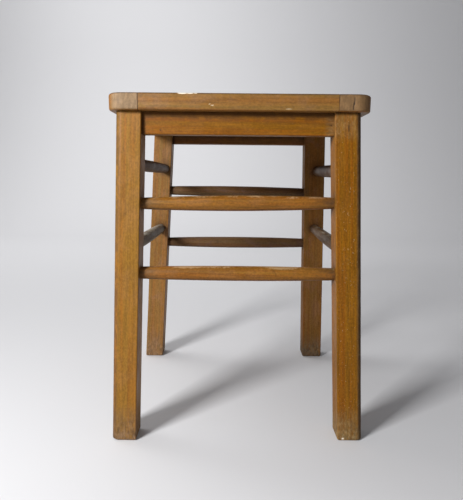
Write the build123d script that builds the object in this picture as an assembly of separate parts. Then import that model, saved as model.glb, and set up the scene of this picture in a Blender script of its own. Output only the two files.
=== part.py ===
from build123d import *
import math
import os

# A square wooden stool of chair height: a framed seat on four splayed legs, with an apron at the
# front and at the back and two tiers of turned rungs.
# Millimetres, +Z up. The front faces -Y, and +X is on the right seen from the front. The parts are
# laid out round the middle of the seat, and then moved so that the origin is on the floor in the
# middle of the footprint.

# Seat
stool_height = 450
seat_width = 328
seat_depth = 320
seat_thickness = 21
seat_corner_radius = 20
seat_edge_radius = 3
left_stile_width = 39.5
right_stile_width = 42.5
rail_width = 56
panel_thickness = 12
rebate_width = 8
panel_gap = 0.25
panel_edge_bevel = 0.6

# Legs: square stock that leans outwards, fitted by hand and so each a little differently.
# Name -> middle of the leg at the seat and on the floor, measured from the seat's middle, and how much
# wider it is than the others in X.
legs = {
    "leg_front_left": ((-138, -135), (-149.5, -154.5), 0),
    "leg_front_right": ((135, -135), (153.5, -148.5), 1),
    "leg_rear_left": ((-135, 135), (-160.5, 149), 0),
    "leg_rear_right": ((140, 135), (151.5, 154.5), 4),
}
leg_width = 32.5
leg_outer_radius = 8
foot_bevel = 2
leg_top_y = 135
footprint_shift = 3.25

# Aprons: the front one is deeper than the rear one
apron_thickness = 18
apron_setback = 5
front_apron_depth = 28
rear_apron_depth = 19
apron_edge_radius = 1.5
apron_tenon_thickness = 8
apron_tenon_length = 14
apron_tenon_margin = 4

# Rungs: name -> leg and height at one end, leg and height at the other, how far that other end is off
# the middle of its leg in X, and the diameters at the legs and in the middle
rungs = {
    "rung_front_upper": ("leg_front_left", 314, "leg_front_right", 317, 0, 15, 20.4),
    "rung_front_lower": ("leg_front_left", 223.5, "leg_front_right", 223.5, 0, 16.5, 20),
    "rung_rear_upper": ("leg_rear_left", 325, "leg_rear_right", 323, 0, 16, 20),
    "rung_rear_lower": ("leg_rear_left", 227, "leg_rear_right", 227, 0, 16.5, 21),
    "rung_left_upper": ("leg_front_left", 365, "leg_rear_left", 365, 6, 16, 18),
    "rung_left_lower": ("leg_front_left", 255, "leg_rear_left", 255, 3, 15, 19),
    "rung_right_upper": ("leg_front_right", 358, "leg_rear_right", 363, 5, 16, 19),
    "rung_right_lower": ("leg_front_right", 251, "leg_rear_right", 257, 0, 15, 19),
}
rung_tenon_diameter = 12
rung_tenon_length = 20
rung_tenon_bevel = 1

# Fasteners
glue_gap = 0.1
leg_dowel_diameter = 10
leg_dowel_length = 34
leg_dowel_in_seat = 14
leg_dowel_shift = 7
rail_dowel_diameter = 8
rail_dowel_length = 40
rail_dowel_inset = 9
inner_rail_dowel_inset = 7
dowel_bevel = 0.8
screw_length = 30
screw_diameter = 4
screw_head_diameter = 8
screw_head_height = 2.4
screw_tip_height = 6
screw_tip_diameter = 0.6
screw_slot_width = 1
screw_tip_below_top = 7
screw_spacing = 140
counterbore_diameter = 9
pin_diameter = 1.6
pin_length = 16
pin_head_diameter = 3
pin_head_height = 0.8
pin_spacing = 120

seat_underside = stool_height - seat_thickness


def leg_centre(name, z):
    """Middle of a leg's section at height z."""
    top, foot, extra_width = legs[name]
    share = z / seat_underside
    return Vector(foot[0] + (top[0] - foot[0]) * share, foot[1] + (top[1] - foot[1]) * share, z)


def span_box(low, high):
    """A box between two opposite corners."""
    size = [b - a for a, b in zip(low, high)]
    centre = [(a + b) / 2 for a, b in zip(low, high)]
    return Pos(*centre) * Box(*size)


def make_leg_blank(name):
    """A leg without its joints: flat-cut square sections, joined by straight faces, bevelled at the foot."""
    sections = []
    for z, inset in ((0, foot_bevel), (foot_bevel, 0), (seat_underside, 0)):
        centre = leg_centre(name, z)
        width = leg_width - 2 * inset
        outline = Pos(centre.X, centre.Y) * Rectangle(width + legs[name][2], width)
        outer_corner = outline.vertices().sort_by_distance((0, 0))[-1]
        sections.append(Pos(0, 0, z) * fillet(outer_corner, leg_outer_radius - inset))
    return loft(sections, ruled=True)


def make_dowel(diameter, length):
    """A dowel along Z, centred on the origin, with bevelled ends."""
    dowel = Cylinder(diameter / 2, length)
    return chamfer(dowel.edges().filter_by(GeomType.CIRCLE), dowel_bevel)


def rung_line(first_leg, first_z, second_leg, second_z, second_shift):
    """The plane across a rung's middle, and half its length between the middles of its two legs."""
    start = leg_centre(first_leg, first_z)
    end = leg_centre(second_leg, second_z) + Vector(second_shift, 0, 0)
    return Plane(origin=(start + end) / 2, z_dir=end - start), (end - start).length / 2


def rung_tenon_reach(half_span):
    """How far a rung's tenons reach from its middle."""
    return half_span - leg_width / 2 + rung_tenon_length


def make_rung(ends, end_diameter, middle_diameter, blanks):
    """A turned rung that swells in the middle and has a shoulder and a round tenon at each leg."""
    across, half_span = rung_line(*ends)
    shoulder = half_span - leg_width / 2
    end_radius = end_diameter / 2
    swell = ThreePointArc((end_radius, -shoulder), (middle_diameter / 2, 0), (end_radius, shoulder))
    far_end = ((end_radius, half_span), (0, half_span))
    near_end = ((0, -half_span), (end_radius, -half_span))
    rest = Polyline(swell @ 1, *far_end, *near_end, swell @ 0)
    body = across * revolve(Plane.XZ * make_face([swell, rest]), Axis.Z)
    for blank in blanks:
        body -= blank
    tenons = Cylinder(rung_tenon_diameter / 2, 2 * rung_tenon_reach(half_span))
    tenons = chamfer(tenons.edges().filter_by(GeomType.CIRCLE), rung_tenon_bevel)
    return body + across * tenons


def make_rung_mortises(ends):
    """The blind round holes that a rung's two tenons need."""
    across, half_span = rung_line(*ends)
    return across * Cylinder(rung_tenon_diameter / 2 + glue_gap, 2 * rung_tenon_reach(half_span))


def apron_y(side):
    """Middle of an apron's thickness, set back from the legs' outer faces."""
    return side * (leg_top_y + leg_width / 2 - apron_setback - apron_thickness / 2)


def leg_tops(side):
    """The X places of the two leg tops that an apron joins, at the front or at the rear."""
    return sorted(top[0] for top, foot, extra_width in legs.values() if top[1] * side > 0)


def make_apron_tenons(side, depth, gap):
    """The bar whose two ends are an apron's tenons, or with a gap the mortises for them."""
    left, right = leg_tops(side)
    reach = leg_width / 2 - apron_tenon_length
    half = apron_tenon_thickness / 2 + gap
    low_z = seat_underside - depth + apron_tenon_margin - gap
    high_z = seat_underside - apron_tenon_margin + gap
    return span_box(
        (left + reach, apron_y(side) - half, low_z), (right - reach, apron_y(side) + half, high_z)
    )


def make_apron(side, depth, blanks):
    """An apron: a plumb board cut to the legs' slope, with its lower edges eased."""
    left, right = leg_tops(side)
    half = apron_thickness / 2
    board = span_box(
        (left, apron_y(side) - half, seat_underside - depth), (right, apron_y(side) + half, seat_underside)
    )
    board = fillet(board.edges().filter_by(Axis.X).group_by(Axis.Z)[0], apron_edge_radius)
    for blank in blanks:
        board -= blank
    return board + make_apron_tenons(side, depth, 0)


def standing(shape_class, *sizes):
    """A cylinder or cone that stands on the origin."""
    return shape_class(*sizes, align=(Align.CENTER, Align.CENTER, Align.MIN))


def make_screw_outline(gap):
    """A countersunk wood screw without its slot, head down and standing on the origin."""
    shank_length = screw_length - screw_head_height - screw_tip_height
    head = standing(Cone, screw_head_diameter / 2 + gap, screw_diameter / 2 + gap, screw_head_height)
    shank = standing(Cylinder, screw_diameter / 2 + gap, shank_length)
    tip = standing(Cone, screw_diameter / 2 + gap, screw_tip_diameter / 2 + gap, screw_tip_height)
    return head + Pos(0, 0, screw_head_height) * shank + Pos(0, 0, screw_head_height + shank_length) * tip


def make_screw():
    """The screw with the slot across its head."""
    return make_screw_outline(0) - Box(screw_head_diameter, screw_slot_width, screw_head_height)


def make_screw_hole():
    """The hole for a screw, with a counterbore that opens downwards."""
    counterbore = Cylinder(
        counterbore_diameter / 2, front_apron_depth, align=(Align.CENTER, Align.CENTER, Align.MAX)
    )
    return make_screw_outline(glue_gap) + counterbore


def make_pin():
    """A panel pin, head up, with the top of its head at the origin."""
    shank = Cylinder(pin_diameter / 2, pin_length, align=(Align.CENTER, Align.CENTER, Align.MAX))
    head = Cylinder(pin_head_diameter / 2, pin_head_height, align=(Align.CENTER, Align.CENTER, Align.MAX))
    return shank + head


def make_seat_blank():
    """The whole seat as one plate with rounded corners and eased top and bottom edges."""
    plate = extrude(RectangleRounded(seat_width, seat_depth, seat_corner_radius), seat_thickness)
    rims = plate.edges().group_by(Axis.Z)[0] + plate.edges().group_by(Axis.Z)[-1]
    return Pos(0, 0, seat_underside) * fillet(rims, seat_edge_radius)


# Lines that the seat's joints lie on
left_joint_x = left_stile_width - seat_width / 2
right_joint_x = seat_width / 2 - right_stile_width
rail_inner_y = seat_depth / 2 - rail_width


def make_panel(gap):
    """The seat's middle board, which lies in the rebate, or with a gap the room cut for it."""
    margin = rebate_width + gap
    return span_box(
        (left_joint_x - margin, -rail_inner_y - margin, stool_height - panel_thickness),
        (right_joint_x + margin, rail_inner_y + margin, stool_height),
    )


# Where each group of fasteners goes
leg_dowel_places = [
    Pos(
        math.copysign(abs(top[0]) + leg_dowel_shift, top[0]),
        top[1],
        seat_underside + leg_dowel_in_seat - leg_dowel_length / 2,
    )
    for top, foot, extra_width in legs.values()
]
rail_dowel_rows = (
    seat_depth / 2 - rail_dowel_inset,
    rail_inner_y + rebate_width + inner_rail_dowel_inset,
)
rail_dowel_places = [
    Pos(joint_x, side * row, seat_underside + seat_thickness / 2) * Rot(0, 90, 0)
    for joint_x in (left_joint_x, right_joint_x)
    for side in (-1, 1)
    for row in rail_dowel_rows
]
screw_places = [
    Pos(step * screw_spacing / 2, apron_y(side), stool_height - screw_tip_below_top - screw_length)
    for step in (-1, 1)
    for side in (-1, 1)
]
pin_lines_x = (left_joint_x - rebate_width / 2, right_joint_x + rebate_width / 2)
pin_line_y = rail_inner_y + rebate_width / 2
pin_places = [Pos(x, step * pin_spacing / 2, stool_height) for x in pin_lines_x for step in (-1, 1)]
pin_places += [
    Pos(step * pin_spacing / 2, side * pin_line_y, stool_height) for side in (-1, 1) for step in (-1, 1)
]

# Fasteners and the holes that they need
leg_dowel = make_dowel(leg_dowel_diameter, leg_dowel_length)
rail_dowel = make_dowel(rail_dowel_diameter, rail_dowel_length)
leg_dowel_hole = Cylinder(leg_dowel_diameter / 2 + glue_gap, leg_dowel_length)
rail_dowel_hole = Cylinder(rail_dowel_diameter / 2 + glue_gap, rail_dowel_length)
pin_hole = make_pin()

parts = {}

# Rungs, aprons and legs
leg_blanks = {name: make_leg_blank(name) for name in legs}
blanks = list(leg_blanks.values())
leg_cuts = []
for name, (*ends, end_diameter, middle_diameter) in rungs.items():
    parts[name] = make_rung(ends, end_diameter, middle_diameter, blanks)
    leg_cuts.append(make_rung_mortises(ends))

screw_holes = [place * make_screw_hole() for place in screw_places]
for name, side, depth in (("front_apron", -1, front_apron_depth), ("rear_apron", 1, rear_apron_depth)):
    apron = make_apron(side, depth, blanks)
    for hole in screw_holes:
        apron -= hole
    parts[name] = apron
    leg_cuts.append(make_apron_tenons(side, depth, glue_gap))

leg_cuts += [place * leg_dowel_hole for place in leg_dowel_places]
for name, blank in leg_blanks.items():
    for cut in leg_cuts:
        blank -= cut
    parts[name] = blank

# Seat frame: the blank is divided into two stiles and two rails, then rebated and drilled
seat_blank = make_seat_blank()
half_width = seat_width / 2
half_depth = seat_depth / 2
regions = {
    "seat_left_stile": ((-half_width, -half_depth), (left_joint_x, half_depth)),
    "seat_right_stile": ((right_joint_x, -half_depth), (half_width, half_depth)),
    "seat_front_rail": ((left_joint_x, -half_depth), (right_joint_x, -rail_inner_y)),
    "seat_rear_rail": ((left_joint_x, rail_inner_y), (right_joint_x, half_depth)),
}
seat_cuts = [make_panel(panel_gap)]
seat_cuts += [place * leg_dowel_hole for place in leg_dowel_places]
seat_cuts += [place * rail_dowel_hole for place in rail_dowel_places]
seat_cuts += screw_holes
seat_cuts += [place * pin_hole for place in pin_places]
for name, (low, high) in regions.items():
    member = seat_blank & span_box((*low, seat_underside), (*high, stool_height))
    for cut in seat_cuts:
        member -= cut
    parts[name] = member

panel = make_panel(0)
panel = chamfer(panel.edges().group_by(Axis.Z)[-1], panel_edge_bevel)
for place in pin_places:
    panel -= place * pin_hole
parts["seat_panel"] = panel

# Groups of identical fasteners
parts["leg_dowels"] = Compound([place * leg_dowel for place in leg_dowel_places])
parts["rail_dowels"] = Compound([place * rail_dowel for place in rail_dowel_places])
parts["apron_screws"] = Compound([place * make_screw() for place in screw_places])
parts["panel_pins"] = Compound([place * make_pin() for place in pin_places])

os.makedirs("parts", exist_ok=True)
for name, part in parts.items():
    export_step(Pos(footprint_shift, 0, 0) * part, f"parts/{name}.step")
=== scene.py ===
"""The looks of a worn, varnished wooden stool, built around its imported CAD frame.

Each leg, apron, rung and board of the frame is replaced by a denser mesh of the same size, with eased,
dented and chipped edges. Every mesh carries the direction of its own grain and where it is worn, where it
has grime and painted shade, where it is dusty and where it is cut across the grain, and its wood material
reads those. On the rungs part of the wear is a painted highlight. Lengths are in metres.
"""
import math
import random
from collections import namedtuple

import bmesh
import bpy
import numpy as np
from mathutils import Matrix, Vector, noise


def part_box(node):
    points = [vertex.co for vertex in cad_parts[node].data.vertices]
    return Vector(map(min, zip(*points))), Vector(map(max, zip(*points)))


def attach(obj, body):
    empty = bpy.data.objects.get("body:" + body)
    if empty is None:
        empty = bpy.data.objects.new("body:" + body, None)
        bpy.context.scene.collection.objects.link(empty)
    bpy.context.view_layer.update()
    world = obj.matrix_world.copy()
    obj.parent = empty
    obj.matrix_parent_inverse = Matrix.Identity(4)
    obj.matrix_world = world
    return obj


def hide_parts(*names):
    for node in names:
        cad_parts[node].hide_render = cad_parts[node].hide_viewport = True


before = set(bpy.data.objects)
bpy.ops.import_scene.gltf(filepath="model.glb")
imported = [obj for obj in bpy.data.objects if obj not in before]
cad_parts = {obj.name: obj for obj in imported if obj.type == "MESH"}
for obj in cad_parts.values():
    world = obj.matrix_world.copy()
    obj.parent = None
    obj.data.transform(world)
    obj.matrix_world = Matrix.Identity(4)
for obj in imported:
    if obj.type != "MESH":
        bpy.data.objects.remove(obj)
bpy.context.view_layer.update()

MM = 0.001
rng = random.Random(11)

# Sizes that the frame's boxes don't give
leg_width = 32.5 * MM
leg_outer_radius = 8 * MM
leg_arris = 1.2 * MM
foot_bevel = 2 * MM
foot_bevel_slope = 0.9
seat_corner_radius = 20 * MM
seat_edge_radius = 3 * MM
panel_edge_bevel = 0.6 * MM
rung_tenon = 20 * MM
rung_tenon_radius = 6 * MM
rung_tenon_bevel = 1 * MM
apron_arris = 1.5 * MM
apron_tenon_cheek = 5 * MM
apron_tenon_margin = 4 * MM
joint_bevel = 0.35 * MM
joint_overlap = 0.8 * MM

# How deep the surface of the wood wavers and how deep its edges are rubbed away
waver = 0.12 * MM
edge_rub = 0.55 * MM

# How high up the legs the dusty feet reach, and where their faded tops start
scuff_height = 55 * MM
faded_top_z = 399 * MM

# How finely the meshes are divided
cell = 2 * MM
support = 0.5 * MM
leg_face_steps = 14
half_corner_steps = 4
rim_steps = 5
rung_facets = 48


# ---------------------------------------------------------------- mesh making

def steps_for(length):
    """Number of mesh cells along a length."""
    return max(2, round(length / cell))


def spaced(low, high, count):
    """Evenly spaced values from low to high, with one more close to each end to hold an edge crisp."""
    ease = min(support, (high - low) / (3 * count))
    inner = [low + (high - low) * k / count for k in range(1, count)]
    return [low, low + ease] + inner + [high - ease, high]


def rounded_sides(low, high, radii, counts):
    """The outline of a rounded rectangle as four sides, each from the middle of one corner to the next.

    Corners, and so radii and sides, go anticlockwise from the lowest corner. counts is how many cells the
    first side has and how many the second has.
    """
    corners = [(low[0], low[1]), (high[0], low[1]), (high[0], high[1]), (low[0], high[1])]
    inward = [(1, 1), (-1, 1), (-1, -1), (1, -1)]
    centres = [
        Vector((c[0] + way[0] * r, c[1] + way[1] * r)) for c, way, r in zip(corners, inward, radii)
    ]

    def eighth(index, first_angle):
        for k in range(half_corner_steps + 1):
            angle = math.radians(first_angle + 45 * k / half_corner_steps)
            yield centres[index] + radii[index] * Vector((math.cos(angle), math.sin(angle)))

    sides = []
    for side in range(4):
        after = (side + 1) % 4
        leaving = list(eighth(side, 225 + 90 * side))
        arriving = list(eighth(after, 270 + 90 * side))
        length = (arriving[0] - leaving[-1]).length
        shares = [s / length for s in spaced(0, length, counts[side % 2])[1:-1]]
        straight = [leaving[-1].lerp(arriving[0], share) for share in shares]
        sides.append(leaving + straight + arriving)
    return sides


def patch(sides):
    """Fills an outline of four sides with a grid of points that follows all of them."""
    bottom, right = sides[0], sides[1]
    top, left = sides[2][::-1], sides[3][::-1]
    width = bottom[-1].x - bottom[0].x
    height = left[-1].y - left[0].y
    grid = []
    for j in range(len(left)):
        v = (left[j].y - left[0].y) / height
        row = []
        for i in range(len(bottom)):
            u = (bottom[i].x - bottom[0].x) / width
            edges = bottom[i] * (1 - v) + top[i] * v + left[j] * (1 - u) + right[j] * u
            low_corners = bottom[0] * (1 - u) + bottom[-1] * u
            high_corners = top[0] * (1 - u) + top[-1] * u
            row.append(edges - low_corners * (1 - v) - high_corners * v)
        grid.append(row)
    return grid


def ring_number(i, j, columns, rows):
    """How far round the edge of a grid the point in column i and row j is, or None if it is inside."""
    if j == 0:
        return i
    if i == columns:
        return columns + j
    if j == rows:
        return 2 * columns + rows - i
    if i == 0:
        return 2 * columns + 2 * rows - j
    return None


def cap(sides, level, start, points, place):
    """Closes the ring that begins at point start with a grid. Adds its inner points, returns its faces."""
    grid = patch(sides)
    rows, columns = len(grid) - 1, len(grid[0]) - 1
    index = {}
    for j in range(rows + 1):
        for i in range(columns + 1):
            number = ring_number(i, j, columns, rows)
            if number is None:
                index[i, j] = len(points)
                points.append(place(grid[j][i].x, grid[j][i].y, level))
            else:
                index[i, j] = start + number
    faces = []
    for j in range(rows):
        for i in range(columns):
            faces.append((index[i, j], index[i + 1, j], index[i + 1, j + 1], index[i, j + 1]))
    return faces


def ring_faces(low, high, around):
    """The faces between two rings, from the numbers of their first points."""
    nexts = [(k + 1) % around for k in range(around)]
    return [(low + k, low + n, high + n, high + k) for k, n in enumerate(nexts)]


def stack(rings, place):
    """A closed mesh through outlines at rising levels, capped at both ends. Returns points and faces."""
    points, faces, starts = [], [], []
    for sides, level in rings:
        starts.append(len(points))
        for side in sides:
            points += [place(p.x, p.y, level) for p in side[:-1]]
    around = starts[1]
    for low, high in zip(starts, starts[1:]):
        faces += ring_faces(low, high, around)
    for end in (0, -1):
        faces += cap(*rings[end], starts[end], points, place)
    return points, faces


def turned(profile, place, around):
    """A closed turned mesh from (distance along, radius) steps. Returns points and faces."""
    points, faces = [], []
    for along, radius in profile:
        for k in range(around):
            angle = math.tau * k / around
            points.append(place(radius * math.cos(angle), radius * math.sin(angle), along))
    for ring in range(len(profile) - 1):
        faces += ring_faces(ring * around, (ring + 1) * around, around)
    for along, start in ((profile[0][0], 0), (profile[-1][0], (len(profile) - 1) * around)):
        centre = len(points)
        points.append(place(0, 0, along))
        faces += [(start + k, start + (k + 1) % around, centre) for k in range(around)]
    return points, faces


def new_mesh(name, points, faces):
    """A smooth mesh with every face turned outwards."""
    mesh = bpy.data.meshes.new(name)
    mesh.from_pydata([tuple(p) for p in points], [], faces)
    mesh.validate()
    mesh.polygons.foreach_set("use_smooth", [True] * len(mesh.polygons))
    work = bmesh.new()
    work.from_mesh(mesh)
    bmesh.ops.recalc_face_normals(work, faces=work.faces)
    work.to_mesh(mesh)
    work.free()
    return mesh


def store(mesh, name, kind, key, values):
    """Gives each point of a mesh a value that the materials read."""
    mesh.attributes.new(name, kind, "POINT").data.foreach_set(key, values.ravel())


# ---------------------------------------------------------------- wear

# A chip has a place, a reach along each axis and a depth. pale is how pale the wood in it is, and where
# that is 0 the chip is dark with dirt.
Chip = namedtuple("Chip", "place reach depth pale")


def blurred_bend(mesh, normals, passes):
    """How sharply the surface bends near each point, from 0 on a flat face to about 1 on a corner."""
    pairs = np.empty(len(mesh.edges) * 2, int)
    mesh.edges.foreach_get("vertices", pairs)
    pairs = pairs.reshape(-1, 2)
    count = np.bincount(pairs.ravel(), minlength=len(normals))[:, None]
    soft = normals.copy()
    for _ in range(passes):
        total = np.zeros_like(soft)
        np.add.at(total, pairs[:, 0], soft[pairs[:, 1]])
        np.add.at(total, pairs[:, 1], soft[pairs[:, 0]])
        soft = (soft + total / count) / 2
    # Round a sharp corner the averaged normal is about a quarter shorter
    return np.clip((1 - np.linalg.norm(soft, axis=1)) * 4, 0, 1)


def smooth_step(value, low, high):
    """0 below low, 1 above high and a smooth curve between."""
    share = np.clip((value - low) / (high - low), 0, 1)
    return share * share * (3 - 2 * share)


def field(points, scale, seed):
    """Smooth noise from -1 to 1 at each point. scale is in metres along each axis."""
    shift = Vector((seed * 3.7, seed * 1.9, seed * 5.3))
    stretch = scale if isinstance(scale, tuple) else (scale,) * 3
    scaled = (Vector((p[0] / stretch[0], p[1] / stretch[1], p[2] / stretch[2])) for p in points)
    return np.array([noise.noise(place + shift) for place in scaled])


def finish_piece(
    name, shape, grain, material, seed, chips=(), edge_wear=1.0,
    wear_and_highlight_field=None, dirt_and_shade_field=None, dust_field=None,
):
    """Turns points and faces into a worn piece that replaces the CAD node of the same name.

    grain turns a point into its place in the wood, with the way along the grain last. edge_wear is how
    much the edges are rubbed away. The three fields give how worn the piece is, how much grime and painted
    shade it has and how dusty it is, at given points with given normals. On the rungs the worn field also
    paints a highlight along the top.
    """
    mesh = new_mesh(name, *shape)
    places = np.array([tuple(v.co) for v in mesh.vertices])
    normals = np.empty(len(places) * 3)
    mesh.vertex_normals.foreach_get("vector", normals)
    normals = normals.reshape(-1, 3)
    grain_places = np.array([grain(p) for p in places])
    # How squarely the surface cuts across the grain
    outwards = np.array([grain(p + n * MM) for p, n in zip(places, normals)]) - grain_places
    end = smooth_step(np.abs(outwards[:, 2]) / MM, 0.6, 0.85)

    bend = blurred_bend(mesh, normals, passes=3)
    rub = 0.5 + 0.5 * field(places, 22 * MM, seed + 1) + 0.3 * field(places, 6 * MM, seed + 2)
    worn = edge_wear * np.clip(bend * rub, 0, 1)
    sink = waver * (1 + field(places, 45 * MM, seed + 3)) + edge_rub * worn
    # The piece's own fields. On the rungs the worn field also paints a highlight along the top, and on the
    # legs, apron and rungs the darkening field paints shade and cast shadows as well as grime.
    if wear_and_highlight_field:
        worn += wear_and_highlight_field(places, normals)
    dirt = dirt_and_shade_field(places, normals) if dirt_and_shade_field else np.zeros(len(places))
    dust = dust_field(places, normals) if dust_field else np.zeros(len(places))
    for chip in chips:
        near = np.linalg.norm((places - np.array(chip.place)) / np.array(chip.reach), axis=1)
        inside = 1 - smooth_step(near, 0.45, 1.0)
        sink += inside * chip.depth
        if chip.pale:
            worn = np.maximum(worn, inside * chip.pale)
            dirt *= 1 - inside
            dust *= 1 - inside
        else:
            dirt = np.maximum(dirt, inside * 1.3)
    moved = places - normals * sink[:, None]
    mesh.vertices.foreach_set("co", moved.ravel())

    # Each piece is cut from another place in the wood
    shift = np.array([rng.uniform(-2, 2) for _ in range(3)])
    state = np.column_stack([np.clip(worn, 0, 2), np.clip(dirt, 0, 2), end, np.ones(len(places))])
    store(mesh, "grain", "FLOAT_VECTOR", "vector", grain_places + shift)
    store(mesh, "state", "FLOAT_COLOR", "color", state)
    store(mesh, "dust", "FLOAT", "value", np.clip(dust, 0, 1))
    mesh.update()

    piece = bpy.data.objects.new(name, mesh)
    bpy.context.scene.collection.objects.link(piece)
    mesh.materials.append(material)
    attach(piece, "root")
    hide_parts(name)


def near_points(places, centres, reach):
    """1 at each of the centres, fading to 0 at about twice the reach."""
    nearness = np.zeros(len(places))
    for centre in centres:
        distance = np.linalg.norm(places - np.array(centre), axis=1)
        nearness = np.maximum(nearness, np.exp(-((distance / reach) ** 2)))
    return nearness


# ---------------------------------------------------------------- materials

def srgb(red, green, blue):
    """A colour as the shader wants it, from the usual 0 to 255 values."""
    shares = [c / 255 for c in (red, green, blue)]
    return tuple(s / 12.92 if s <= 0.04045 else ((s + 0.055) / 1.055) ** 2.4 for s in shares) + (1,)


class Graph:
    """Short names for the shader nodes used here. Each call returns the new node's output socket."""

    def __init__(self, material):
        material.use_nodes = True
        self.tree = material.node_tree
        self.shader = self.tree.nodes["Principled BSDF"]

    def feed(self, socket, value):
        if isinstance(value, bpy.types.NodeSocket):
            self.tree.links.new(value, socket)
        else:
            socket.default_value = value

    def node(self, kind, settings=(), inputs=()):
        made = self.tree.nodes.new(kind)
        for key, value in dict(settings).items():
            setattr(made, key, value)
        for key, value in dict(inputs).items():
            self.feed(made.inputs[key], value)
        return made

    def attribute(self, name, output):
        return self.node("ShaderNodeAttribute", {"attribute_name": name}).outputs[output]

    def stretch(self, vector, scale):
        inputs = {"Vector": vector, "Scale": scale}
        return self.node("ShaderNodeMapping", {}, inputs).outputs["Vector"]

    def noise(self, vector, scale, detail, roughness, distortion=0.0):
        inputs = {
            "Vector": self.stretch(vector, scale),
            "Scale": 1.0,
            "Detail": detail,
            "Roughness": roughness,
            "Distortion": distortion,
        }
        return self.node("ShaderNodeTexNoise", {}, inputs).outputs["Fac"]

    def math(self, operation, first, second):
        return self.node("ShaderNodeMath", {"operation": operation}, {0: first, 1: second}).outputs[0]

    def remap(self, value, low, high, new_low=0.0, new_high=1.0):
        inputs = {"Value": value, "From Min": low, "From Max": high, "To Min": new_low, "To Max": new_high}
        settings = {"interpolation_type": "SMOOTHSTEP"}
        return self.node("ShaderNodeMapRange", settings, inputs).outputs["Result"]

    def mix(self, share, first, second):
        """A mix of colours. The node's inputs of one kind share a name, so they are picked by number."""
        settings = {"data_type": "RGBA", "clamp_factor": True}
        return self.node("ShaderNodeMix", settings, {0: share, 6: first, 7: second}).outputs[2]

    def mix_value(self, share, first, second):
        return self.node("ShaderNodeMix", {"clamp_factor": True}, {0: share, 2: first, 3: second}).outputs[0]

    def brighten(self, colour, factor):
        """The colour times a number that differs from place to place."""
        inputs = {0: colour, "Scale": factor}
        return self.node("ShaderNodeVectorMath", {"operation": "SCALE"}, inputs).outputs[0]

    def bump(self, height, strength, distance):
        inputs = {"Height": height, "Strength": strength, "Distance": distance}
        return self.node("ShaderNodeBump", {}, inputs).outputs["Normal"]


def tint(colour, red, green, blue):
    """The colour with each of its three parts made stronger or weaker."""
    return (colour[0] * red, colour[1] * green, colour[2] * blue, 1)


def shade(colour, factor):
    """The same hue, lighter or darker."""
    return tint(colour, factor, factor, factor)


# The colour deep in the palest chips
raw_wood = (232, 222, 204)


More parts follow.
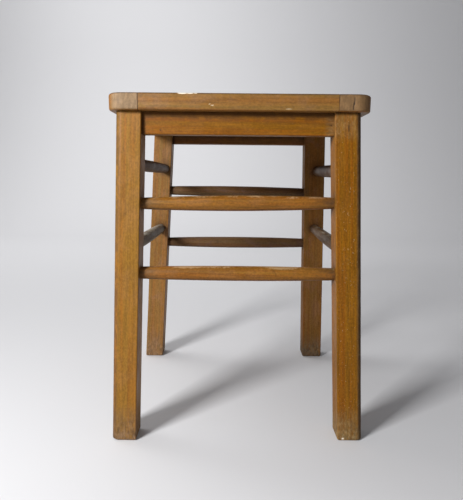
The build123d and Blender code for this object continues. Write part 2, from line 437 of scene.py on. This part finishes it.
def wood(
    name, face, end_colour=(120, 100, 78), bare=(196, 168, 128), dirt=(50, 38, 30), dust=(106, 83, 56),
    contrast=1.3, specks=0.0, gloss=0.3,
):
    """Old varnished wood, in colours from 0 to 255.

    face is the varnished wood, end_colour the end grain and bare the wood that has lost its varnish. The
    darkest colour is used for grime and for painted shade.
    contrast is how strongly the figure of the grain shows, and specks how many pale specks there are.
    """
    material = bpy.data.materials.new(name)
    g = Graph(material)
    grain = g.attribute("grain", "Vector")
    # The state holds wear (with a painted highlight on the rung tops), grime with painted shade, and end
    # grain
    split = g.node("ShaderNodeSeparateColor", {}, {"Color": g.attribute("state", "Color")})
    worn, dirt_and_shade_share, end = (split.outputs[k] for k in ("Red", "Green", "Blue"))

    # The figure of the wood, from wide bands along the grain to fine fibres
    band = g.noise(grain, (150, 150, 3), 2.0, 0.5)
    streak = g.noise(grain, (330, 330, 12), 3.0, 0.6)
    fibre = g.noise(grain, (1400, 1400, 70), 2.0, 0.6)
    fleck = g.noise(grain, (1300, 700, 260), 1.0, 0.5)
    blotch = g.noise(grain, (60, 60, 40), 4.0, 0.6, 0.6)
    fine = g.noise(grain, (480, 480, 330), 3.0, 0.65)

    # The varnished face: ochre and orange bands, faded blotches, dark flecks and stains
    mid = srgb(*face)
    ochre = tint(mid, 1.0, 1.06, 0.9)
    orange = tint(mid, 1.05, 0.92, 0.7)
    faded = tint(mid, 1.1, 1.12, 1.7)
    colour = g.mix(g.remap(band, 0.38, 0.62), ochre, orange)
    colour = g.mix(g.remap(blotch, 0.46, 0.68, 0, 0.6), colour, faded)
    tone = g.math("ADD", g.math("MULTIPLY", streak, 0.4), g.math("MULTIPLY", fine, 0.4))
    tone = g.math("ADD", tone, g.math("MULTIPLY", fibre, 0.2))
    light = g.remap(tone, 0.36, 0.64, 1 - 0.2 * contrast, 1 + 0.2 * contrast)
    colour = g.brighten(colour, light)
    colour = g.mix(g.remap(fleck, 0.68, 0.78, 0, 0.35), colour, shade(mid, 0.4))
    stain = g.noise(grain, (70, 70, 26), 4.0, 0.7, 1.2)
    colour = g.mix(g.remap(stain, 0.6, 0.74, 0, 0.4 * contrast), colour, shade(mid, 0.45))

    # The end grain, with open pores
    end_mid = srgb(*end_colour)
    pore = g.node("ShaderNodeTexVoronoi", {}, {"Vector": g.stretch(grain, (520, 520, 30)), "Scale": 1.0})
    pores = g.remap(pore.outputs["Distance"], 0.06, 0.3, 0.28, 0)
    layer = g.noise(grain, (190, 80, 20), 3.0, 0.6, 0.5)
    end_tone = g.math("ADD", g.math("MULTIPLY", fine, 0.25), g.math("MULTIPLY", layer, 0.75))
    end_mix = g.mix(g.remap(end_tone, 0.36, 0.64), shade(end_mid, 0.78), shade(end_mid, 1.2))
    end_mix = g.mix(pores, end_mix, srgb(*dirt))
    colour = g.mix(g.math("MULTIPLY", end, 0.92), colour, end_mix)

    # Where the varnish is rubbed off, with a ragged edge
    ragged = g.math("ADD", worn, g.math("MULTIPLY", g.math("SUBTRACT", fine, 0.5), 0.9))
    ragged = g.math("ADD", ragged, g.math("MULTIPLY", g.math("SUBTRACT", streak, 0.5), 0.6))
    rubbed = g.remap(ragged, 0.4, 0.7)
    bare_mid = srgb(*bare)
    bare_mix = g.mix(g.remap(fibre, 0.35, 0.65), shade(bare_mid, 0.75), bare_mid)
    colour = g.mix(g.math("MULTIPLY", rubbed, 0.45), colour, bare_mix)
    colour = g.mix(g.remap(worn, 0.8, 1.4, 0, 0.95), colour, srgb(*raw_wood))

    # Small pale specks
    speck = g.noise(grain, (620, 620, 430), 2.0, 0.5)
    speck_start = 0.78 - 0.12 * specks
    colour = g.mix(g.remap(speck, speck_start, speck_start + 0.06, 0, 0.4), colour, bare_mid)

    # A film of dust
    dust_mid = srgb(*dust)
    grit = g.noise(grain, (260, 260, 110), 4.0, 0.7)
    film = g.math("MULTIPLY", g.attribute("dust", "Fac"), g.remap(grit, 0.36, 0.6, 0.35, 1.0))
    smear = g.noise(grain, (420, 420, 140), 3.0, 0.7)
    film_tone = g.mix(g.remap(smear, 0.38, 0.62), shade(dust_mid, 0.65), shade(dust_mid, 1.25))
    colour = g.mix(film, colour, film_tone)

    # Grime and painted shade, both patchy where they are thin
    patchy = g.remap(g.noise(grain, (160, 160, 90), 3.0, 0.6), 0.25, 0.6)
    soil_and_shade = g.math("MULTIPLY", dirt_and_shade_share, g.mix_value(g.remap(dirt_and_shade_share, 0.6, 1.0), patchy, 1.0))
    colour = g.mix(g.math("MULTIPLY", soil_and_shade, 0.85), colour, srgb(*dirt))
    g.feed(g.shader.inputs["Base Color"], colour)

    roughness = g.remap(blotch, 0.3, 0.7, 0.4, 0.56)
    for state, added in ((rubbed, 0.15), (soil_and_shade, 0.2), (film, 0.25), (end, 0.15)):
        roughness = g.math("ADD", roughness, g.math("MULTIPLY", state, added))
    g.feed(g.shader.inputs["Roughness"], roughness)

    # The relief: raised fibres, and sunk flecks and pores
    height = g.math("MULTIPLY", fibre, 0.35)
    height = g.math("ADD", height, g.math("MULTIPLY", streak, 0.4))
    height = g.math("SUBTRACT", height, g.math("MULTIPLY", g.remap(fleck, 0.64, 0.74), 0.3))
    height = g.math("SUBTRACT", height, g.math("MULTIPLY", g.math("MULTIPLY", pores, end), 0.5))
    height = g.math("ADD", height, g.math("MULTIPLY", g.math("MULTIPLY", fine, rubbed), 0.6))
    g.feed(g.shader.inputs["Normal"], g.bump(height, 0.5, 0.2 * MM))
    g.shader.inputs["Specular IOR Level"].default_value = gloss
    return material


def metal(name, clean, rust):
    """Plain steel that has rusted in patches."""
    material = bpy.data.materials.new(name)
    g = Graph(material)
    place = g.node("ShaderNodeTexCoord").outputs["Object"]
    patch_noise = g.noise(place, (700, 700, 700), 4.0, 0.65)
    rusty = g.remap(patch_noise, 0.42, 0.6)
    g.feed(g.shader.inputs["Base Color"], g.mix(rusty, srgb(*clean), srgb(*rust)))
    g.feed(g.shader.inputs["Metallic"], g.math("SUBTRACT", 1.0, rusty))
    g.feed(g.shader.inputs["Roughness"], g.remap(rusty, 0, 1, 0.4, 0.85))
    g.feed(g.shader.inputs["Normal"], g.bump(patch_noise, 0.4, 0.2 * MM))
    return material


def bare_wood(name, dark, pale):
    """Unfinished wood that runs along Z, for the hidden dowels."""
    material = bpy.data.materials.new(name)
    g = Graph(material)
    place = g.node("ShaderNodeTexCoord").outputs["Object"]
    fibre = g.noise(place, (900, 900, 60), 3.0, 0.6)
    g.feed(g.shader.inputs["Base Color"], g.mix(g.remap(fibre, 0.3, 0.7), srgb(*dark), srgb(*pale)))
    g.feed(g.shader.inputs["Roughness"], g.remap(fibre, 0.3, 0.7, 0.6, 0.8))
    g.feed(g.shader.inputs["Normal"], g.bump(fibre, 0.4, 0.1 * MM))
    return material


# ---------------------------------------------------------------- pieces

def upright(x, y, level):
    """Where a point of an outline goes in a piece that is built up along Z."""
    return Vector((x, y, level))


def lengthways(y, z, level):
    """Where a point of an outline goes in a piece that is built up along X."""
    return Vector((level, y, z))


class LegLine:
    """The sloping centre line of a leg, worked out once from the frame's box of that leg."""

    def __init__(self, node, side_x, side_y, extra_width):
        low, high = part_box(node)
        inner = Vector((high.x if side_x < 0 else low.x, high.y if side_y < 0 else low.y))
        outer = Vector((low.x if side_x < 0 else high.x, low.y if side_y < 0 else high.y))
        self.half = Vector((leg_width + extra_width, leg_width)) / 2
        reach = Vector((side_x * self.half.x, side_y * self.half.y))
        self.height = high.z
        self.top = inner + reach
        self.foot = outer - reach
        self.outer_corner = {(-1, -1): 0, (1, -1): 1, (1, 1): 2, (-1, 1): 3}[side_x, side_y]

    def centre(self, z):
        """The X and Y of the line at a height."""
        return self.foot.lerp(self.top, z / self.height)

    def middle(self, z):
        """The point of the line at a height."""
        return Vector((*self.centre(z), z))

    def inner_x(self, z):
        """Where the leg's face towards the middle of the stool is."""
        centre = self.centre(z)
        return centre.x - math.copysign(self.half.x, centre.x)


# How much painted shade the outer and inner sides of a leg get, and how faded its inner side and top are,
# from 0 to 1
LegMarks = namedtuple("LegMarks", "outer_dirt inner_dirt inner_fade top_fade", defaults=(0, 0, 0, 0))


def make_leg(node, material, sockets, marks, seed, chips):
    """A square leg that leans outwards, rounded on its outer corner and dusty at the foot.

    It has a painted shadow of the seat at its top, painted shade on the sides that marks asks for, and grime
    at the sockets, the places where the rungs enter the legs.
    """
    line = leg_lines[node]
    radii = [leg_arris] * 4
    radii[line.outer_corner] = leg_outer_radius
    levels = [0, foot_bevel / 2] + spaced(foot_bevel, line.height, steps_for(line.height))
    rings = []
    for z in levels:
        drawn_in = max(0, foot_bevel - z) * foot_bevel_slope
        reach = line.half - Vector((drawn_in, drawn_in))
        low, high = line.centre(z) - reach, line.centre(z) + reach
        rings.append((rounded_sides(low, high, radii, (leg_face_steps, leg_face_steps)), z))

    def grain(p):
        centre = line.centre(p[2])
        return (p[0] - centre.x, p[1] - centre.y, p[2])

    def low_down(places):
        return 1 - smooth_step(places[:, 2], 6 * MM, scuff_height)

    def facing(normals, way):
        """How far each point faces away from the middle of the stool in X, or towards it with way -1."""
        return smooth_step(normals[:, 0] * math.copysign(way, line.foot.x), 0.05, 0.45)

    def worn(places, normals):
        return low_down(places) * (0.15 + 0.6 * field(places, 3.5 * MM, seed + 5))

    def dirt(places, normals):
        scuffed = low_down(places) * (0.15 + 0.6 * field(places, 5 * MM, seed + 4))
        # Painted shadow of the seat across the top of the leg, and painted shade on the outer corner and the
        # inner side
        painted_seat_shadow = 0.5 * smooth_step(places[:, 2], line.height - 6 * MM, line.height)
        outside = marks.outer_dirt * facing(normals, 1)
        inside = marks.inner_dirt * facing(normals, -1)
        round_rungs = near_points(places, sockets, reach=13 * MM)
        return np.maximum.reduce((scuffed, painted_seat_shadow, outside, inside, round_rungs))

    def dust(places, normals):
        at_foot = low_down(places) * (0.9 + 0.5 * field(places, 12 * MM, seed + 6))
        at_foot += 0.4 * (1 - smooth_step(places[:, 2], 2 * MM, 8 * MM))
        at_top = marks.top_fade * smooth_step(places[:, 2], faded_top_z - 8 * MM, faded_top_z + 8 * MM)
        inside = marks.inner_fade * facing(normals, -1)
        return np.maximum.reduce((at_foot, at_top, inside))

    finish_piece(
        node, stack(rings, upright), grain, material, seed, chips,
        wear_and_highlight_field=worn, dirt_and_shade_field=dirt, dust_field=dust,
    )


def rim_rings(bottom, top, radius):
    """Levels up a board, each with how far the outline is drawn in there, as a share of the rim radius."""
    lower = []
    for k in range(rim_steps + 1):
        angle = math.pi / 2 * k / rim_steps
        lower.append((bottom + radius * (1 - math.cos(angle)), 1 - math.sin(angle)))
    middle = [(z, 0) for z in spaced(bottom + radius, top - radius, steps_for(top - bottom))[1:-1]]
    upper = [(top + bottom - z, share) for z, share in reversed(lower)]
    return lower + middle + upper


def make_board(
    node, material, along, rounded, joint_sides, dirt_and_shade_field, seed,
    rim=seat_edge_radius, chips=(),
):
    """A flat board that fills its node's box.

    along is the axis of its grain, rounded the corners that follow the seat's outline, and joint_sides the
    sides (-X, -Y, +X, +Y) that meet another board. Those are crisp and the others are eased by the rim.
    """
    low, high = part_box(node)
    counts = (steps_for(high.x - low.x), steps_for(high.y - low.y))
    draw_in = [joint_bevel if side in joint_sides else rim for side in range(4)]
    rings = []
    for z, share in rim_rings(low.z, high.z, rim):
        ring_low = (low.x + draw_in[0] * share, low.y + draw_in[1] * share)
        ring_high = (high.x - draw_in[2] * share, high.y - draw_in[3] * share)
        round_radius = seat_corner_radius - rim * share
        radii = [round_radius if corner in rounded else joint_bevel for corner in range(4)]
        rings.append((rounded_sides(ring_low, ring_high, radii, counts), z))

    def grain(p):
        return (p[1], p[2], p[0]) if along == "X" else (p[0], p[2], p[1])

    finish_piece(node, stack(rings, upright), grain, material, seed, chips, dirt_and_shade_field=dirt_and_shade_field)


def make_apron(node, left_leg, right_leg, material, seed, chips=(), dusty_end=0):
    """An apron board along X between two legs, with a thinner tenon at each end.

    dusty_end is how dusty the last stretch on the right is.
    """
    low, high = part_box(node)
    height = (low.z + high.z) / 2
    left = leg_lines[left_leg].inner_x(height) - joint_overlap
    right = leg_lines[right_leg].inner_x(height) + joint_overlap
    radii = [apron_arris, apron_arris, joint_bevel, joint_bevel]
    counts = (steps_for(high.y - low.y), steps_for(high.z - low.z))
    board = rounded_sides((low.y, low.z), (high.y, high.z), radii, counts)
    cheek = Vector((apron_tenon_cheek, apron_tenon_margin))
    tenon = rounded_sides(
        Vector((low.y, low.z)) + cheek, Vector((high.y, high.z)) - cheek, [joint_bevel] * 4, counts
    )
    rings = [(tenon, low.x), (tenon, left)]
    rings += [(board, x) for x in spaced(left, right, steps_for(right - left))]
    rings += [(tenon, right), (tenon, high.x)]

    def grain(p):
        return (p[1], p[2], p[0])

    # All painted shadow: the seat's shadow down the top of the apron, and the front left leg's shadow at its
    # left end
    def dirt(places, normals):
        painted_seat_shadow = 0.9 * smooth_step(places[:, 2], high.z - 16 * MM, high.z - 2 * MM)
        painted_leg_shadow = 1 - smooth_step(places[:, 0] - left, 1 * MM, 9 * MM)
        return np.maximum(painted_seat_shadow, painted_leg_shadow)

    def dust(places, normals):
        return dusty_end * smooth_step(places[:, 0], right - 14 * MM, right - 8 * MM)

    finish_piece(
        node, stack(rings, lengthways), grain, material, seed, chips,
        dirt_and_shade_field=dirt, dust_field=dust,
    )


# A rung runs from a height on one leg to a height on another, where it may be shifted off the leg's middle
# in X. Its lengths are in millimetres.
Rung = namedtuple(
    "Rung", "first_leg first_z second_leg second_z second_shift end_diameter middle_diameter finish"
)


def make_rung(node, rung, material, rub, seed):
    """A turned rung that swells in the middle. Returns the middles of its two shoulders.

    rub is how pale its top is made, by wear and dust and by a painted highlight.
    """
    start = leg_lines[rung.first_leg].middle(rung.first_z * MM)
    end = leg_lines[rung.second_leg].middle(rung.second_z * MM) + Vector((rung.second_shift * MM, 0, 0))
    middle = (start + end) / 2
    along = (end - start).normalized()
    sideways = along.cross(Vector((0, 0, 1))).normalized()
    upwards = sideways.cross(along)
    shoulder = (end - start).length / 2 - leg_width / 2
    tip = shoulder + rung_tenon
    shoulder += joint_overlap
    end_radius = rung.end_diameter * MM / 2
    middle_radius = rung.middle_diameter * MM / 2

    profile = [
        (-tip, rung_tenon_radius - rung_tenon_bevel),
        (rung_tenon_bevel - tip, rung_tenon_radius),
        (-shoulder, rung_tenon_radius),
    ]
    for t in spaced(-shoulder, shoulder, steps_for(2 * shoulder)):
        profile.append((t, end_radius + (middle_radius - end_radius) * (1 - (t / shoulder) ** 2)))
    profile += [(-t, radius) for t, radius in reversed(profile[:3])]

    def place(a, b, t):
        return middle + along * t + sideways * a + upwards * b

    def grain(p):
        q = Vector(p) - middle
        return (q.dot(sideways), q.dot(upwards), q.dot(along))

    # Paler along the top: partly wear and dust, partly a painted highlight along the top edge
    def rubbed(places, normals):
        up = smooth_step(normals[:, 2], 0.35, 0.95)
        patches = 0.7 + 0.7 * field(places, (20 * MM, 20 * MM, 4 * MM), seed + 9)
        return rub * up * patches

    sockets = [place(0, 0, -shoulder), place(0, 0, shoulder)]

    # Painted shade on the underside, and darker round both ends, over a longer stretch at the second end
    def dirt(places, normals):
        painted_underside_shade = 0.45 * smooth_step(-normals[:, 2], 0.5, 0.95)
        at_first_end = 0.9 * near_points(places, sockets[:1], reach=12 * MM)
        at_second_end = 0.8 * near_points(places, sockets[1:], reach=24 * MM)
        return np.maximum.reduce((painted_underside_shade, at_first_end, at_second_end))

    def dust(places, normals):
        return 0.9 * near_points(places, [place(0, 0, 12 * MM - shoulder)], reach=11 * MM)

    finish_piece(
        node, turned(profile, place, rung_facets), grain, material, seed, edge_wear=0,
        wear_and_highlight_field=rubbed, dirt_and_shade_field=dirt, dust_field=dust,
    )
    return sockets


# ---------------------------------------------------------------- the stool

# Each leg: which way it stands in X and Y, and how much wider than leg_width it is in X
legs = {
    "leg_front_left": (-1, -1, 0),
    "leg_front_right": (1, -1, 1 * MM),
    "leg_rear_left": (-1, 1, 0),
    "leg_rear_right": (1, 1, 4 * MM),
}
leg_lines = {node: LegLine(node, *shape) for node, shape in legs.items()}

leg_marks = {
    "leg_front_left": LegMarks(inner_dirt=0.6),
    "leg_front_right": LegMarks(outer_dirt=0.85, inner_fade=0.6, top_fade=0.4),
    "leg_rear_left": LegMarks(),
    "leg_rear_right": LegMarks(outer_dirt=0.4, inner_dirt=0.7),
}

woods = {
    "leg_front_left": wood("leg_front_left_wood", (129, 88, 30), dust=(122, 95, 68), specks=0.3, gloss=0.2),
    "leg_front_right": wood(
        "leg_front_right_wood", (122, 77, 11), dust=(136, 112, 74), contrast=1.7, specks=0.85, gloss=0.15
    ),
    "leg_rear_left": wood("leg_rear_left_wood", (127, 91, 50), dust=(134, 105, 76), gloss=0.15),
    "leg_rear_right": wood("leg_rear_right_wood", (117, 81, 45), dust=(104, 90, 73), gloss=0.02),
    # The front apron's darkest colour is also the colour of its painted shadows
    "front_apron": wood(
        "front_apron_wood", (120, 75, 10), dirt=(66, 40, 18), dust=(120, 90, 52), specks=0.2, gloss=0.2
    ),
    "rear_apron": wood("rear_apron_wood", (108, 72, 36), gloss=0.15),
    "seat_left": wood("seat_left_wood", (123, 85, 40), end_colour=(130, 106, 78)),
    "seat_right": wood("seat_right_wood", (118, 80, 36), end_colour=(122, 94, 62)),
    "seat_rails": wood("seat_rail_wood", (122, 86, 41), specks=0.2),
}

# Rung finishes: the wood, and how pale its top is made, by wear and dust and by a painted highlight. The
# rear and side woods are darker and greyer than the front one, greyer with grime and darker partly as
# painted shade.
# The dark colour of grime and of the painted shade under the darker rungs
dark_dirt_and_shade = (58, 38, 27)
rung_finishes = {
    "front": (wood("front_rung_wood", (125, 82, 30), contrast=1.6, gloss=0.2), 0.7),
    "rear": (wood("rear_rung_wood", (90, 66, 45), dirt=dark_dirt_and_shade, gloss=0.12), 0),
    "side": (wood("side_rung_wood", (84, 60, 36), dirt=dark_dirt_and_shade, gloss=0.12), 0.1),
    "dusty": (wood("dusty_rung_wood", (98, 82, 62), bare=(196, 190, 178), gloss=0.12), 1.0),
    "dull": (wood("dull_rung_wood", (84, 62, 42), bare=(176, 166, 148), dirt=dark_dirt_and_shade, gloss=0.12), 0.55),
}

rungs = {
    "rung_front_upper": Rung("leg_front_left", 314, "leg_front_right", 317, 0, 15, 20.4, "front"),
    "rung_front_lower": Rung("leg_front_left", 223.5, "leg_front_right", 223.5, 0, 16.5, 20, "front"),
    "rung_rear_upper": Rung("leg_rear_left", 325, "leg_rear_right", 323, 0, 16, 20, "rear"),
    "rung_rear_lower": Rung("leg_rear_left", 227, "leg_rear_right", 227, 0, 16.5, 21, "rear"),
    "rung_left_upper": Rung("leg_front_left", 365, "leg_rear_left", 365, 6, 16, 18, "side"),
    "rung_left_lower": Rung("leg_front_left", 255, "leg_rear_left", 255, 3, 15, 19, "dusty"),
    "rung_right_upper": Rung("leg_front_right", 358, "leg_rear_right", 363, 5, 16, 19, "side"),
    "rung_right_lower": Rung("leg_front_right", 251, "leg_rear_right", 257, 0, 15, 19, "dull"),
}

# The seeds of the noise on the pieces
first_rung_seed = 20
first_leg_seed = 40
first_apron_seed = 50
first_board_seed = 60

rung_sockets = []
for number, (node, rung) in enumerate(rungs.items()):
    material, rub = rung_finishes[rung.finish]
    rung_sockets += make_rung(node, rung, material, rub, first_rung_seed + number)

# Cracks, chips and dents, by the piece they are on
foot_front_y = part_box("leg_front_right")[0].y
leg_top_front_y = -151 * MM
seat_front_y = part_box("seat_front_rail")[0].y
seat_top_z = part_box("seat_front_rail")[1].z
apron_front_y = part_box("front_apron")[0].y
damage = {
    "leg_front_right": [
        Chip((0.1385, leg_top_front_y, 0.4090), (0.0011, 0.006, 0.0085), 0.5 * MM, 0),
        Chip((0.1195, leg_top_front_y, 0.4090), (0.0016, 0.006, 0.0022), 0.5 * MM, 1.1),
        Chip((0.1200, leg_top_front_y, 0.3880), (0.0016, 0.006, 0.0016), 0.4 * MM, 1.1),
        Chip((0.1470, foot_front_y, 0.0030), (0.0034, 0.004, 0.0022), 0.5 * MM, 1.4),
    ],
    "seat_front_rail": [
        Chip((-0.0335, seat_front_y, 0.4368), (0.0022, 0.003, 0.0012), 0.5 * MM, 1.2),
        Chip((-0.0300, seat_front_y, 0.4350), (0.0022, 0.003, 0.0012), 0.5 * MM, 1.2),
        Chip((0.0635, seat_front_y, 0.4313), (0.0065, 0.003, 0.0014), 0.4 * MM, 0.95),
        Chip((-0.0665, seat_front_y + 0.001, seat_top_z), (0.0095, 0.0030, 0.0030), 0.2 * MM, 1.8),
        Chip((-0.0570, seat_front_y + 0.001, seat_top_z), (0.0070, 0.0022, 0.0026), 0.2 * MM, 1.7),
        Chip((-0.0500, seat_front_y + 0.001, seat_top_z), (0.0035, 0.0018, 0.0022), 0.2 * MM, 1.5),
    ],
    "seat_right_stile": [
        Chip((0.1430, seat_front_y, 0.4415), (0.0010, 0.003, 0.0065), 0.6 * MM, 0),
        Chip((0.1420, seat_front_y, 0.4350), (0.0010, 0.003, 0.0060), 0.6 * MM, 0),
    ],
    "front_apron": [
        Chip((-0.0950, apron_front_y, 0.4068), (0.0017, 0.002, 0.0017), 0.3 * MM, 0),
        Chip((0.1180, apron_front_y, 0.4140), (0.0017, 0.002, 0.0030), 0.5 * MM, 0),
    ],
}
for number, node in enumerate(legs):
    make_leg(
        node, woods[node], rung_sockets, leg_marks[node], first_leg_seed + number, damage.get(node, ())
    )
make_apron(
    "front_apron", "leg_front_left", "leg_front_right", woods["front_apron"],
    first_apron_seed, damage["front_apron"], dusty_end=0.7,
)
make_apron("rear_apron", "leg_rear_left", "leg_rear_right", woods["rear_apron"], first_apron_seed + 1)

left_joint_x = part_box("seat_left_stile")[1].x
right_joint_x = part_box("seat_right_stile")[0].x
joint_line_width = 0.6 * MM
panel_gap_width = 0.8 * MM


def seat_dark_lines(places, normals):
    """A dark line where the boards meet, which on the right fades low down, and a darker band along the
    upper edge.
    """
    left_line = np.exp(-(((places[:, 0] - left_joint_x) / joint_line_width) ** 2))
    right_line = np.exp(-(((places[:, 0] - right_joint_x) / joint_line_width) ** 2))
    right_line *= smooth_step(places[:, 2], seat_top_z - 16 * MM, seat_top_z - 8 * MM)
    upper_edge = 0.9 * smooth_step(places[:, 2], seat_top_z - 2 * MM, seat_top_z - 0.8 * MM)
    upper_edge *= smooth_step(np.abs(normals[:, 0]) + np.abs(normals[:, 1]), 0.1, 0.4)
    return np.maximum.reduce((left_line, right_line, upper_edge))


def panel_dirt(places, normals):
    """A dark line round the panel."""
    low, high = (np.array(corner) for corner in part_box("seat_panel"))
    gap = np.minimum(places - low, high - places)[:, :2].min(axis=1)
    return np.exp(-((gap / panel_gap_width) ** 2))


make_board(
    "seat_left_stile", woods["seat_left"], along="Y", rounded=(0, 3), joint_sides=(2,),
    dirt_and_shade_field=seat_dark_lines, seed=first_board_seed,
)
make_board(
    "seat_right_stile", woods["seat_right"], along="Y", rounded=(1, 2), joint_sides=(0,),
    dirt_and_shade_field=seat_dark_lines, seed=first_board_seed + 1, chips=damage["seat_right_stile"],
)
make_board(
    "seat_front_rail", woods["seat_rails"], along="X", rounded=(), joint_sides=(0, 2, 3),
    dirt_and_shade_field=seat_dark_lines, seed=first_board_seed + 2, chips=damage["seat_front_rail"],
)
make_board(
    "seat_rear_rail", woods["seat_rails"], along="X", rounded=(), joint_sides=(0, 1, 2),
    dirt_and_shade_field=seat_dark_lines, seed=first_board_seed + 3,
)
make_board(
    "seat_panel", woods["seat_rails"], along="X", rounded=(), joint_sides=(),
    dirt_and_shade_field=panel_dirt, seed=first_board_seed + 4, rim=panel_edge_bevel,
)

# The dowels, screws and pins keep their CAD shapes
steel = metal("aged_steel", (120, 116, 110), (96, 58, 36))
dowel_wood = bare_wood("dowel_beech", (176, 140, 96), (208, 178, 136))
for node, material in (
    ("leg_dowels", dowel_wood), ("rail_dowels", dowel_wood), ("apron_screws", steel), ("panel_pins", steel)
):
    for material_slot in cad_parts[node].material_slots:
        material_slot.material = material


# ---------------------------------------------------------------- floor, light and camera

# The floor and the backdrop, in metres
stage_half_width = 7
floor_front_y = -7
sweep_start_y = 2
sweep_radius = 1.5
backdrop_height = 5
sweep_steps = 32


def plain(name, colour, roughness):
    """A plain surface for the floor."""
    material = bpy.data.materials.new(name)
    g = Graph(material)
    g.feed(g.shader.inputs["Base Color"], colour)
    g.feed(g.shader.inputs["Roughness"], roughness)
    return material


def make_floor():
    """A floor that runs back and sweeps up into a pale backdrop, so that no horizon shows."""
    side_view = [(floor_front_y, 0)]
    for k in range(sweep_steps + 1):
        angle = math.pi / 2 * k / sweep_steps
        y = sweep_start_y + sweep_radius * math.sin(angle)
        side_view.append((y, sweep_radius * (1 - math.cos(angle))))
    side_view.append((sweep_start_y + sweep_radius, backdrop_height))
    points = [(side * stage_half_width, y, z) for y, z in side_view for side in (-1, 1)]
    faces = [(2 * k, 2 * k + 1, 2 * k + 3, 2 * k + 2) for k in range(len(side_view) - 1)]
    mesh = bpy.data.meshes.new("floor")
    mesh.from_pydata(points, [], faces)
    mesh.polygons.foreach_set("use_smooth", [True] * len(faces))
    mesh.materials.append(plain("floor_paint", (0.65, 0.65, 0.665, 1), roughness=0.8))
    floor = bpy.data.objects.new("floor", mesh)
    bpy.context.scene.collection.objects.link(floor)


def add_area(name, place, target, size, power, spread=180):
    """A square soft light that faces a point. spread is the whole angle it shines into, in degrees."""
    light = bpy.data.lights.new(name, "AREA")
    light.size = size
    light.energy = power
    light.spread = math.radians(spread)
    lamp = bpy.data.objects.new(name, light)
    lamp.location = place
    lamp.rotation_mode = "QUATERNION"
    lamp.rotation_quaternion = (Vector(target) - Vector(place)).to_track_quat("-Z", "Y")
    bpy.context.scene.collection.objects.link(lamp)


def make_world(seen, cast):
    """A pale studio. seen is its colour where it shows past the backdrop, and cast the light it gives."""
    world = bpy.data.worlds.new("studio")
    world.use_nodes = True
    tree = world.node_tree
    cast_light = tree.nodes["Background"]
    cast_light.inputs["Color"].default_value = (*cast, 1)
    seen_light = tree.nodes.new("ShaderNodeBackground")
    seen_light.inputs["Color"].default_value = (*seen, 1)
    path = tree.nodes.new("ShaderNodeLightPath")
    either = tree.nodes.new("ShaderNodeMixShader")
    tree.links.new(path.outputs["Is Camera Ray"], either.inputs[0])
    tree.links.new(cast_light.outputs[0], either.inputs[1])
    tree.links.new(seen_light.outputs[0], either.inputs[2])
    tree.links.new(either.outputs[0], tree.nodes["World Output"].inputs["Surface"])
    bpy.context.scene.world = world


def add_camera(place, yaw, pitch, roll, lens):
    """A camera that looks along Y, turned right by yaw, down by pitch and tilted by roll, in radians."""
    data = bpy.data.cameras.new("camera")
    data.sensor_width = 36
    data.lens = lens
    level_forward = Vector((math.sin(yaw), math.cos(yaw), 0))
    level_right = Vector((math.cos(yaw), -math.sin(yaw), 0))
    forward = level_forward * math.cos(pitch) - Vector((0, 0, 1)) * math.sin(pitch)
    level_up = Vector((0, 0, 1)) * math.cos(pitch) + level_forward * math.sin(pitch)
    right = level_right * math.cos(roll) + level_up * math.sin(roll)
    up = level_up * math.cos(roll) - level_right * math.sin(roll)
    turn = Matrix((right, up, -forward)).transposed().to_4x4()
    camera = bpy.data.objects.new("camera", data)
    camera.matrix_world = Matrix.Translation(place) @ turn
    bpy.context.scene.collection.objects.link(camera)
    bpy.context.scene.camera = camera


make_floor()
add_area("key", (-0.79, -0.92, 0.79), target=(0, 0, 0.22), size=0.3, power=22)
add_area("backdrop_light", (-1.3, 1.0, 2.6), target=(0, 3.2, 0.3), size=2.0, power=52, spread=140)
make_world(seen=(0.66, 0.66, 0.68), cast=(0.23, 0.23, 0.235))
add_camera((-0.00195, -0.7447, 0.345), yaw=-0.005, pitch=0.149, roll=0.010, lens=33.45)
bpy.context.scene.view_settings.view_transform = "Standard"
